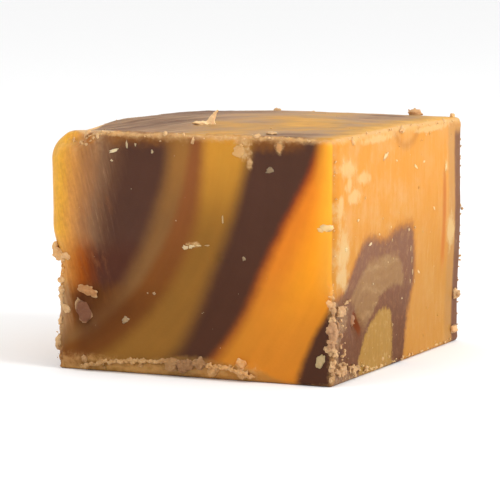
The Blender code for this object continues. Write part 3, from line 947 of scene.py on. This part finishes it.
def stripedColour(sketch, spot):
    across, back, up = sketch.split(spot)
    wild = sketch.step(back, *stripes["wildBack"]) * (1 - sketch.step(across, *stripes["calmRight"]))
    slow = sketch.noise(spot, 0.10, 2.0)
    slower = sketch.noise(spot, 0.055, 1.0, 0.4)
    fine = sketch.noise(spot, 0.55, 3.0, 0.6)
    finest = sketch.noise(spot, 2.6, 3.0, 0.6)
    bend = wild * (slower * 2.2 + slow) * stripes["wildness"]
    axisLeft, axisUp = stripes["axis"]
    radius = sketch.length(across - axisLeft, axisUp - up)
    radius = radius + (fine * stripes["wander"] + finest * stripes["fineWander"] + bend)
    painted = smearedEnd(sketch, spot, wild * slow, fine, finest)
    for name, edge, softness in stripes["bands"]:
        start = sketch.profile(up, edge)
        cover = sketch.step(radius - start, -softness, softness)
        painted = sketch.mix(cover, painted, stripeTone(sketch, name, up))
    murk = 1 - sketch.step(up + fine * 0.6, *stripes["murkHeights"])
    murk = murk * sketch.step(across, *stripes["murkAcross"])
    murk = murk * (1 - sketch.step(radius, *stripes["murkRadii"])) * stripes["murkCover"]
    painted = sketch.mix(murk, painted, stripeTone(sketch, "murky", up))
    # painted glow: light shining through near the front-right edge
    paintedGlow = sketch.step(across, *stripes["glowAcross"]) * (1 - sketch.step(back, *stripes["glowBack"]))
    paintedGlow = paintedGlow * sketch.step(radius, *stripes["glowRadii"]) * sketch.step(up, *stripes["glowHeights"])
    painted = sketch.mix(paintedGlow * stripes["glowCover"], painted, stripeTone(sketch, "edgeGlow", up))
    flow = sketch.noise(sketch.joined(radius * 0.7, up * 0.10, back * 0.16), 1.0, 3.0, 0.55)
    cloud = sketch.noise(spot, 0.22, 3.0, 0.55)
    painted = sketch.lit(painted, 1 + flow * 0.12 + fine * 0.05 + cloud * 0.10)
    return tornRims(sketch, spot, painted, radius)


# The arch on the smeared right face. Lines go from the nose backwards, or from the foot up.
arch = {
    "roof": [(0, 7.7), (2.1, 8.1), (3.9, 9.5), (5.7, 11.3), (7.1, 12.3), (9.3, 12.3),
             (12.1, 12.0), (14.3, 12.6), (16.1, 12.8), (20, 12.6), (32, 12.6)],
    "wall": [(0, 16.6), (2.7, 17.0), (4.5, 17.5), (6.3, 18.6), (7.7, 19.3), (9.5, 19.2),
             (11.3, 18.9), (13, 18.2), (22, 17.6)],
    "tanRoof": [(0, 4.2), (3.6, 7.0), (5.4, 8.3), (7.1, 9.5), (8.6, 10.2), (11.4, 10.5),
                (15.4, 10.3), (32, 10.3)],
    "tanWall": [(0, 16.6), (5, 16.6), (7, 16.6), (9.1, 16.1), (10.2, 15.3), (22, 14.6)],
    "tanCut": (5.2, 6.3, 0.93),  # back, up and how steep the slanting cut through the tan is
    "darkRoof": [(0, 1.0), (6.5, 3.3), (7.5, 4.3), (10, 6.0), (11.0, 6.9), (12.3, 7.4),
                 (15.7, 7.4), (17.0, 7.0), (32, 6.5)],
    "darkBack": 17.3,
    "coreRoof": [(0, 0.5), (6.4, 2.4), (7.5, 3.6), (9, 4.7), (10.5, 5.4), (11.8, 5.7),
                 (13, 5.4), (14.2, 4.6), (32, 4.0)],
    "coreLeft": [(0, 6.0), (2, 6.4), (3.6, 7.4), (8, 9.0), (22, 12.0)],
    "coreRight": [(0, 14.2), (5, 13.7), (22, 13.0)],
    "nose": [(0, 7.0), (0.9, 4.5), (2.0, 1.6), (4.0, 1.8), (5.2, 3.2), (6.6, 3.4), (7.2, 1.0),
             (8.0, 0.0), (22, 0.0)],
    # the painted shadow under the curl: where it lies, back and up, then its slant, bend, width, length
    "curlShadow": (5.9, 5.2),  # back and up
    "curlShadowSlant": (0.78, 0.62),
    "curlShadowBend": 0.14,
    "curlShadowWidth": (0.03, 0.20),
    "curlShadowLength": (0.9, 2.8),
    "streakBack": (26.5, 27.4, 0.40),
    "streakHeights": (8.2, 16.8, 1.6),
    "stripBack": (27.7, 28.8),
    "sheetBack": (29.7, 30.3),
    "sheetHeights": (20.2, 21.2),
    "ring": (16.9, 23.3),  # middle of a round smear at the rim, back and up
    "ringRadii": (2.7, 3.4, 0.45),
    "lipReach": (0.75, 0.15),  # how far down the torn lip reaches
    "insideDark": 0.7,  # how dark the tan gets in places
}
# its tones above and below, and how strongly each covers what is under it; most are darker
# below, as painted shade towards the foot
archTones = {
    "ground": ("#fbaa4c", "#d99846", 1.0),
    "paleGround": ("#fdc280", "#e6b06a", 0.7),
    "outline": ("#986b53", "#7a4f38", 1.0),
    "outlinePale": ("#ba8a62", "#96694a", 0.7),
    "fringe": ("#c9803f", "#a8683a", 0.75),
    "inside": ("#b2875c", "#9c744e", 1.0),
    "insidePale": ("#cda678", "#bb9264", 0.8),
    "core": ("#c09450", "#bd8f4a", 1.0),
    "coreStreak": ("#dcb67c", "#dcb67c", 0.55),
    # painted shadow under the curl
    "curlShadow": ("#86480e", "#86480e", 1.0),
    "streak": ("#dc8038", "#dc8038", 0.85),
    "backStrip": ("#d8a468", "#c89458", 0.7),
    "backSheet": ("#986c52", "#8a5f48", 1.0),
    "ring": ("#d08c48", "#d08c48", 0.6),
    "dry": ("#fcc684", "#e6b878", 0.5),
    "patch": ("#fdd290", "#f0cc94", 0.75),
    "lip": ("#fdd290", "#f0cc94", 0.45),
    "broken": ("#8e6648", "#d0a880", 0.75),  # its deep and its pale tone
}

# Pale smears dragged over the right face: back from the nose, up, half length, half height
patches = [
    (2.6, 19.1, 2.6, 1.3), (3.0, 17.6, 1.3, 1.2), (6.3, 18.0, 2.2, 0.8), (4.0, 16.6, 2.4, 0.9),
    (1.8, 11.8, 1.8, 2.8), (2.0, 9.6, 1.8, 1.6), (1.0, 15.6, 1.0, 1.8), (28.9, 11.5, 1.3, 2.6),
    (27.6, 17.6, 0.7, 1.0), (10.0, 21.3, 5.0, 0.5), (23.0, 21.4, 6.0, 0.4),
]


def archTone(sketch, name, down):
    above, below = archTones[name][:2]
    return sketch.mix(down, seen(above, "right"), seen(below, "right"))


def archLayer(sketch, painted, name, amount, down):
    # the paint with a tone laid over it, as strongly as the table says
    return sketch.mix(amount * archTones[name][2], painted, archTone(sketch, name, down))


def paintedCurlShadow(sketch, back, up):
    # painted shadow under the curl: a short dark bent line
    curlShadowBack, curlShadowUp = arch["curlShadow"]
    cosine, sine = arch["curlShadowSlant"]
    fromLine = (back - curlShadowBack) * cosine + (up - curlShadowUp) * sine
    along = (back - curlShadowBack) * sine - (up - curlShadowUp) * cosine
    fromLine = fromLine + along * along * arch["curlShadowBend"]
    narrow = 1 - sketch.step(fromLine * fromLine, *arch["curlShadowWidth"])
    return narrow * (1 - sketch.step(along * along, *arch["curlShadowLength"]))


def archFilling(sketch, spot, painted, edge, down, upright):
    # the paint with the arch's dark outline, the tan in it, the dark bow in that, the golden core
    # and the painted shadow under the curl, and how deep in the arch a place is
    across, back, up = sketch.split(spot)
    # painted shade: the arch's tones darken towards the foot
    low = sketch.step(up, 12.0, 2.0)
    mottled = sketch.noise(spot, 1.3, 5.0, 0.72)
    roof = sketch.profile(back, arch["roof"])
    wall = sketch.profile(up, arch["wall"])
    depth = sketch.blended(roof - up, wall - back, 0.8) + edge
    outline = archTone(sketch, "outline", low)
    outline = archLayer(sketch, outline, "outlinePale", sketch.step(mottled, -0.1, 0.5), low)
    painted = archLayer(sketch, painted, "fringe", sketch.step(depth, -0.95, 0.10), low)
    painted = sketch.mix(sketch.step(depth, -0.45, 0.65), painted, outline)

    tanTop = sketch.profile(back, arch["tanRoof"]) - up
    tanSide = sketch.profile(up, arch["tanWall"]) - back
    cutBack, cutUp, cutSlope = arch["tanCut"]
    diagonal = (up - cutUp) + (back - cutBack) * cutSlope
    tan = sketch.least(sketch.blended(tanTop, tanSide, 1.0), diagonal * 0.7) + edge
    flow = sketch.noise(sketch.joined(depth * 1.2, across, back * 0.16), 1.0, 5.0, 0.7)
    flow = flow + mottled * 0.35
    inside = archTone(sketch, "inside", low)
    inside = archLayer(sketch, inside, "insidePale", sketch.step(flow, 0.0, 0.5), low)
    inside = sketch.mix(sketch.step(flow, 0.0, -0.5) * arch["insideDark"], inside, outline)
    painted = sketch.mix(sketch.step(tan, -0.45, 0.5), painted, inside)

    bow = sketch.profile(back, arch["darkRoof"]) - up
    bow = sketch.least(bow, arch["darkBack"] - back) + edge
    bow = sketch.step(bow, -0.3, 0.35) * sketch.step(depth, -0.3, 0.3)
    painted = sketch.mix(bow, painted, outline)
    coreTop = sketch.profile(back, arch["coreRoof"]) - up
    coreLeft = back - sketch.profile(up, arch["coreLeft"])
    coreRight = sketch.profile(up, arch["coreRight"]) - back
    core = sketch.least(coreTop, sketch.least(coreLeft, coreRight)) + edge * 1.1
    yellow = archTone(sketch, "core", low)
    yellow = sketch.lit(yellow, 1 + upright * 0.14 + mottled * 0.12)
    streaky = sketch.step(mottled + upright * 0.3, 0.0, 0.5)
    yellow = archLayer(sketch, yellow, "coreStreak", streaky, low)
    painted = sketch.mix(sketch.step(core, -0.25, 0.35), painted, yellow)
    return archLayer(sketch, painted, "curlShadow", paintedCurlShadow(sketch, back, up), down), depth


def archColour(sketch, spot):
    # the right face's colour, and where pale smears lie on it
    across, back, up = sketch.split(spot)
    wobble = sketch.noise(spot, 0.9, 4.0, 0.62) * 0.42
    fine = sketch.noise(spot, 3.2, 3.0, 0.6)
    ragged = sketch.noise(spot, 2.0, 3.0, 0.7)
    # painted shade: 0 high up and 1 near the foot, where the tones mixed by it darken
    down = sketch.step(up, 20.0, 4.0)
    upright = sketch.noise(sketch.joined(across, back * 2.2, up * 0.28), 1.0, 4.0, 0.65)
    painted = archTone(sketch, "ground", down)
    cloud = sketch.noise(spot, 0.28, 4.0, 0.6)
    paler = sketch.step(cloud + upright * 0.25, -0.25, 0.5) * (1 - sketch.step(back, 12.0, 22.0) * 0.5)
    painted = archLayer(sketch, painted, "paleGround", paler, down)
    painted = sketch.lit(painted, 1 + upright * 0.06)
    edge = wobble + fine * 0.18 + ragged * 0.50
    painted, depth = archFilling(sketch, spot, painted, edge, down, upright)

    streak = sketch.band(back + wobble * 0.3, *arch["streakBack"])
    streak = streak * sketch.band(up + upright, *arch["streakHeights"])
    painted = archLayer(sketch, painted, "streak", streak, down)
    strip = sketch.step(back + wobble * 0.6, *arch["stripBack"])
    painted = archLayer(sketch, painted, "backStrip", strip, down)
    sheet = sketch.step(back + wobble * 0.3, *arch["sheetBack"])
    sheet = sheet * (1 - sketch.step(up + wobble, *arch["sheetHeights"]))
    painted = archLayer(sketch, painted, "backSheet", sheet, down)
    ringBack, ringUp = arch["ring"]
    ring = sketch.root((back - ringBack) * (back - ringBack) * 0.75 + (up - ringUp) * (up - ringUp))
    ring = sketch.band(ring + wobble * 0.5, *arch["ringRadii"])
    painted = archLayer(sketch, painted, "ring", ring, down)

    torn = sketch.noise(sketch.joined(across, back, up * 0.7), 1.0, 5.0, 0.66)
    pale = sketch.step(sketch.nearest(back, up, patches) + torn, 0.05, 0.65)
    dry = sketch.step(upright + fine * 0.4, 0.15, 0.7) * (1 - sketch.step(depth, -0.5, 0.5) * 0.6)
    painted = archLayer(sketch, painted, "dry", dry, down)
    painted = archLayer(sketch, painted, "patch", pale, down)

    # broken places: at the nose's foot, and the torn lip above
    nose = sketch.profile(up, arch["nose"], reach=32.0)
    broken = sketch.step(back - nose + wobble * 2.0 + ragged * 0.6, 0.5, -0.4)
    fromRim = 2 * half.z / millimetre - up
    lip = sketch.step(fromRim + wobble * 1.6 + ragged * 0.4, *arch["lipReach"])
    lumpy = sketch.step(sketch.noise(spot, 2.4, 4.0, 0.7), -0.4, 0.45)
    painted = archLayer(sketch, painted, "lip", lip, down)
    return archLayer(sketch, painted, "broken", broken, lumpy), pale


# The poured top. Its streaks are arcs round a place beyond its right front corner, and its
# colour goes from dark to bright along the tones.
top = {
    "tones": [(0.00, "#80624f"), (0.22, "#a5866f"), (0.42, "#c4a080"), (0.62, "#d6a872"),
              (0.80, "#e8b06a"), (1.00, "#fac070")],
    "axis": (34.0, -8.0),
    "fanOut": 12.0,
    "brightness": [(0, 0.22), (4, 0.14), (8, 0.26), (13, 0.48), (18, 0.60), (22, 0.52),
                   (25, 0.62), (27.5, 1.0), (28, 1.0)],
    # across, back, how wide and how much brighter
    "clouds": [(23.0, 1.5, 4.5, -0.32), (20.5, 12.0, 4.5, 0.22), (21.5, 25.0, 4.5, -0.22),
               (13.0, 8.0, 3.0, 0.18), (16.5, 2.0, 2.5, 0.20), (6.0, 26.0, 6.0, 0.10)],
    "palest": "#e4c49c",
    "darkest": "#765848",
    "hairCover": 0.55,
    "streaks": 0.42,
    "fineStreaks": 0.48,
}


def topColour(sketch, spot):
    across, back = sketch.split(spot)[:2]
    axisAcross, axisBack = top["axis"]
    toSide, toBack = axisAcross - across, back - axisBack
    radius = sketch.length(toSide, toBack)
    along = toBack / (toSide + top["fanOut"]) * 3.0
    streak = sketch.noise(sketch.joined(radius * 0.24, along, 0.0), 1.0, 4.0, 0.62)
    finer = sketch.noise(sketch.joined(radius * 0.55, along * 0.8, 3.0), 1.0, 4.0, 0.7)
    bright = sketch.profile(across, top["brightness"], reach=28.0)
    for cloudAcross, cloudBack, width, gain in top["clouds"]:
        inner = 1 - sketch.length((across - cloudAcross) / width, (back - cloudBack) / width)
        bright = bright + sketch.step(inner + streak * 0.5, -0.2, 0.8) * gain
    bright = bright + streak * top["streaks"] + finer * top["fineStreaks"]
    stops = [(place, seen(code, "top")) for place, code in top["tones"]]
    painted = sketch.node("ShaderNodeValToRGB", {"stops": stops}, {0: bright})
    hair = sketch.noise(sketch.joined(radius * 0.8, along * 0.9, 7.0), 1.0, 4.0, 0.7)
    lighter = sketch.step(hair, 0.10, 0.45) * top["hairCover"]
    darker = sketch.step(hair, -0.10, -0.45) * top["hairCover"]
    painted = sketch.mix(lighter, painted, seen(top["palest"], "top"))
    return sketch.mix(darker, painted, seen(top["darkest"], "top"))


finish = {
    "front": 0.40,
    "right": 0.52,
    "top": 0.55,
    "crumb": 0.60,
    "fleckRough": 0.55,
    "specular": 0.08,
    "scatter": 0.30,
    "scatterReach": (1.0, 0.42, 0.16),
    "scatterScale": 0.0010,
    "crumbReach": (1.0, 0.75, 0.45),
    "crumbScale": 0.0004,
    "rim": "#dcb07a",
    "rimCover": 0.35,
    "worn": "#cfa065",
    "wornTone": 0.55,
    "wornCover": 0.75,
    "pale": "#d0aa7c",
    "paleCover": (0.50, 0.40, 0.24),  # everywhere, in patches more, and at the front's foot less
    "fleck": "#ecd2a4",
    "bump": (0.35, 0.00006),  # strength and height
    "crumbBump": (0.5, 0.00005),
    "cornerAcross": (2.0, 8.0),  # where the rounded left front corner fades out
    "cornerBack": (2.0, 12.0),
    "cornerDrop": 1.8,  # how much further in the top's colour starts there
    "leftAcross": (0.8, 3.0),
    "leftBack": (2.0, 6.0),
    "leftRise": 1.1,  # and how much further out along the rest of the left rim
    "chalkCover": 0.6,
}


def fudgeColour(sketch, spot):
    # the colour of every face, how far a place lies on the right face or the top, and how pale
    across, back, up = sketch.split(spot)
    toRight = 2 * half.x / millimetre - across
    toTop = 2 * half.z / millimetre - up
    toBack = 2 * half.y / millimetre - back
    onRight = sketch.step(sketch.least(back, toBack) - toRight, -0.15, 0.15)
    sides = sketch.least(sketch.least(back, toBack), sketch.least(toRight, across))
    ragged = sketch.noise(spot, 1.6, 3.0, 0.6) * 0.25
    rim = sides - toTop + ragged
    corner = 1 - sketch.step(across, *finish["cornerAcross"])
    corner = corner * (1 - sketch.step(back, *finish["cornerBack"]))
    rim = rim - corner * finish["cornerDrop"]
    leftRim = 1 - sketch.step(across, *finish["leftAcross"])
    rim = rim + leftRim * sketch.step(back, *finish["leftBack"]) * finish["leftRise"]
    onTop = sketch.step(rim, -0.15, 0.25)
    smeared, pale = archColour(sketch, spot)
    painted = sketch.mix(onRight, stripedColour(sketch, spot), smeared)
    painted = sketch.mix(onTop, painted, topColour(sketch, spot))
    torn = sketch.band(rim + ragged, -0.5, 0.15, 0.3) * sketch.step(toTop, 3.0, 1.5)
    torn = torn * (finish["rimCover"] + corner * finish["rimCover"])
    painted = sketch.mix(torn, painted, seen(finish["rim"], "front"))
    chalky = sketch.step(sketch.noise(spot, 0.8, 4.0, 0.65), -0.15, 0.40) * sketch.step(toTop, 3.0, 0.2)
    painted = sketch.mix(chalky * corner * finish["chalkCover"], painted, seen(finish["rim"], "front"))
    onRight = onRight * (1 - onTop)
    return painted, onRight, onTop, pale * onRight


def roughen(sketch, height, strength, distance):
    values = {"Strength": strength, "Distance": distance, "Height": height}
    bump = sketch.node("ShaderNodeBump", {}, values)
    sketch.join(sketch.shader.inputs["Normal"], bump)


def finishShader(sketch, scatterScale, scatterReach):
    sketch.shader.inputs["Subsurface Weight"].default_value = finish["scatter"]
    sketch.shader.inputs["Subsurface Radius"].default_value = scatterReach
    sketch.shader.inputs["Subsurface Scale"].default_value = scatterScale
    sketch.shader.inputs["Specular IOR Level"].default_value = finish["specular"]


def makeFudgeMaterial():
    sketch = shaderSketch("marbledFudge")
    spot = sketch.place()
    painted, onRight, onTop, pale = fudgeColour(sketch, spot)
    wear = sketch.node("ShaderNodeAttribute", {"attribute_name": "wear"}, output=2)
    speckle = sketch.noise(spot, 3.6, 4.0, 0.75)
    worn = sketch.step(wear + speckle * 0.55, 0.25, 0.95)
    lightened = sketch.mix(finish["wornTone"], painted, colour(finish["worn"]))
    painted = sketch.mix(worn * finish["wornCover"], painted, lightened)
    sketch.join(sketch.shader.inputs["Base Color"], painted)
    rough = finish["front"] + onRight * (finish["right"] - finish["front"])
    rough = rough + onTop * (finish["top"] - finish["front"]) + worn * 0.2 + pale * 0.1
    sketch.join(sketch.shader.inputs["Roughness"], rough)
    grain = sketch.noise(spot, 2.4, 4.0, 0.6) * 0.5 + sketch.noise(spot, 9.0, 2.0, 0.5) * 0.15
    drag = sketch.noise(sketch.stretched(spot, (2.0, 2.0, 0.25)), 1.6, 3.0, 0.6)
    height = grain + drag * 0.25 * onRight + speckle * worn * 1.4 + pale * 1.6
    roughen(sketch, height, *finish["bump"])
    finishShader(sketch, finish["scatterScale"], finish["scatterReach"])
    return sketch.material


def makeCrumbMaterial():
    sketch = shaderSketch("paleCrumb")
    spot = sketch.place()
    painted = fudgeColour(sketch, spot)[0]
    patch = sketch.step(sketch.noise(spot, 1.5, 4.0, 0.75), -0.30, 0.40)
    across, back, up = sketch.split(spot)
    footward = (1 - sketch.step(up, 1.4, 2.6)) * (1 - sketch.step(back, 0.4, 1.4))
    footward = footward * sketch.step(across, 24.0, 20.0)
    everywhere, inPatches, atFoot = finish["paleCover"]
    cover = everywhere + patch * inPatches - footward * atFoot
    painted = sketch.mix(cover, painted, colour(finish["pale"]))
    shade = sketch.noise(spot, 3.5, 3.0, 0.6)
    painted = sketch.lit(painted, 1 + shade * 0.25)
    tint = sketch.node("ShaderNodeAttribute", {"attribute_name": "tint"}, output=0)
    amount = sketch.node("ShaderNodeAttribute", {"attribute_name": "tint"}, output=3)
    painted = sketch.mix(amount, painted, tint)
    sketch.join(sketch.shader.inputs["Base Color"], painted)
    sketch.shader.inputs["Roughness"].default_value = finish["crumb"]
    roughen(sketch, sketch.noise(spot, 6.0, 3.0, 0.6), *finish["crumbBump"])
    finishShader(sketch, finish["crumbScale"], finish["crumbReach"])
    return sketch.material


def makeFleckMaterial():
    sketch = shaderSketch("creamFleck")
    spot = sketch.place()
    painted = fudgeColour(sketch, spot)[0]
    pale = sketch.node("ShaderNodeAttribute", {"attribute_name": "pale"}, output=2)
    painted = sketch.mix(pale, painted, colour(finish["fleck"]))
    sketch.join(sketch.shader.inputs["Base Color"], painted)
    sketch.shader.inputs["Roughness"].default_value = finish["fleckRough"]
    finishShader(sketch, finish["crumbScale"], finish["crumbReach"])
    return sketch.material


def dress(piece, material, replaced=None):
    piece.data.materials.clear()
    piece.data.materials.append(material)
    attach(piece, body)
    if replaced:
        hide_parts(replaced)


dress(cubeBlock, makeFudgeMaterial(), node)
dress(edgeCrumbs, makeCrumbMaterial())
dress(looseFlecks, makeFleckMaterial())
print("materials made")


# The stage: a plain pale floor, soft light and the camera.
studio = {
    "floorSize": 5.0,
    "floorTone": (0.93, 0.93, 0.93, 1.0),
    "floorRough": 0.9,
    "sky": 1.0,
    "lamps": {  # place, width, watts
        "key": ((0.40, -0.04, 0.26), 0.26, 1.5),
        "fill": ((-0.22, -0.45, 0.30), 0.40, 0.5),
    },
    "cameraTurn": 24.5,
    "cameraRise": 6.5,
    "cameraDistance": 0.267,
    "lens": 202.9,
    "aim": (-0.00077, -0.00049, 0.00992),
}


def makeStage():
    shape = bmesh.new()
    bmesh.ops.create_grid(shape, x_segments=1, y_segments=1, size=studio["floorSize"])
    floor = newPiece("floor", shape)
    sketch = shaderSketch("paleFloor")
    sketch.shader.inputs["Base Color"].default_value = studio["floorTone"]
    sketch.shader.inputs["Roughness"].default_value = studio["floorRough"]
    floor.data.materials.append(sketch.material)
    world = bpy.data.worlds.new("studioSky")
    world.use_nodes = True
    world.node_tree.nodes["Background"].inputs["Color"].default_value = (1.0, 1.0, 1.0, 1.0)
    world.node_tree.nodes["Background"].inputs["Strength"].default_value = studio["sky"]
    bpy.context.scene.world = world
    aim = Vector(studio["aim"])
    for name, (where, width, watts) in studio["lamps"].items():
        data = bpy.data.lights.new(name, "AREA")
        data.shape = "DISK"
        data.size = width
        data.energy = watts
        lamp = bpy.data.objects.new(name, data)
        lamp.location = where
        lamp.rotation_euler = (aim - lamp.location).to_track_quat("-Z", "Y").to_euler()
        bpy.context.scene.collection.objects.link(lamp)
    turn, rise = math.radians(studio["cameraTurn"]), math.radians(studio["cameraRise"])
    back = Vector((math.sin(turn) * math.cos(rise), -math.cos(turn) * math.cos(rise), math.sin(rise)))
    data = bpy.data.cameras.new("camera")
    data.lens = studio["lens"]
    data.clip_start = 0.01
    camera = bpy.data.objects.new("camera", data)
    camera.location = aim + back * studio["cameraDistance"]
    camera.rotation_euler = (-back).to_track_quat("-Z", "Y").to_euler()
    bpy.context.scene.collection.objects.link(camera)
    bpy.context.scene.camera = camera
    bpy.context.scene.view_settings.view_transform = "Standard"


makeStage()
print("stage made")
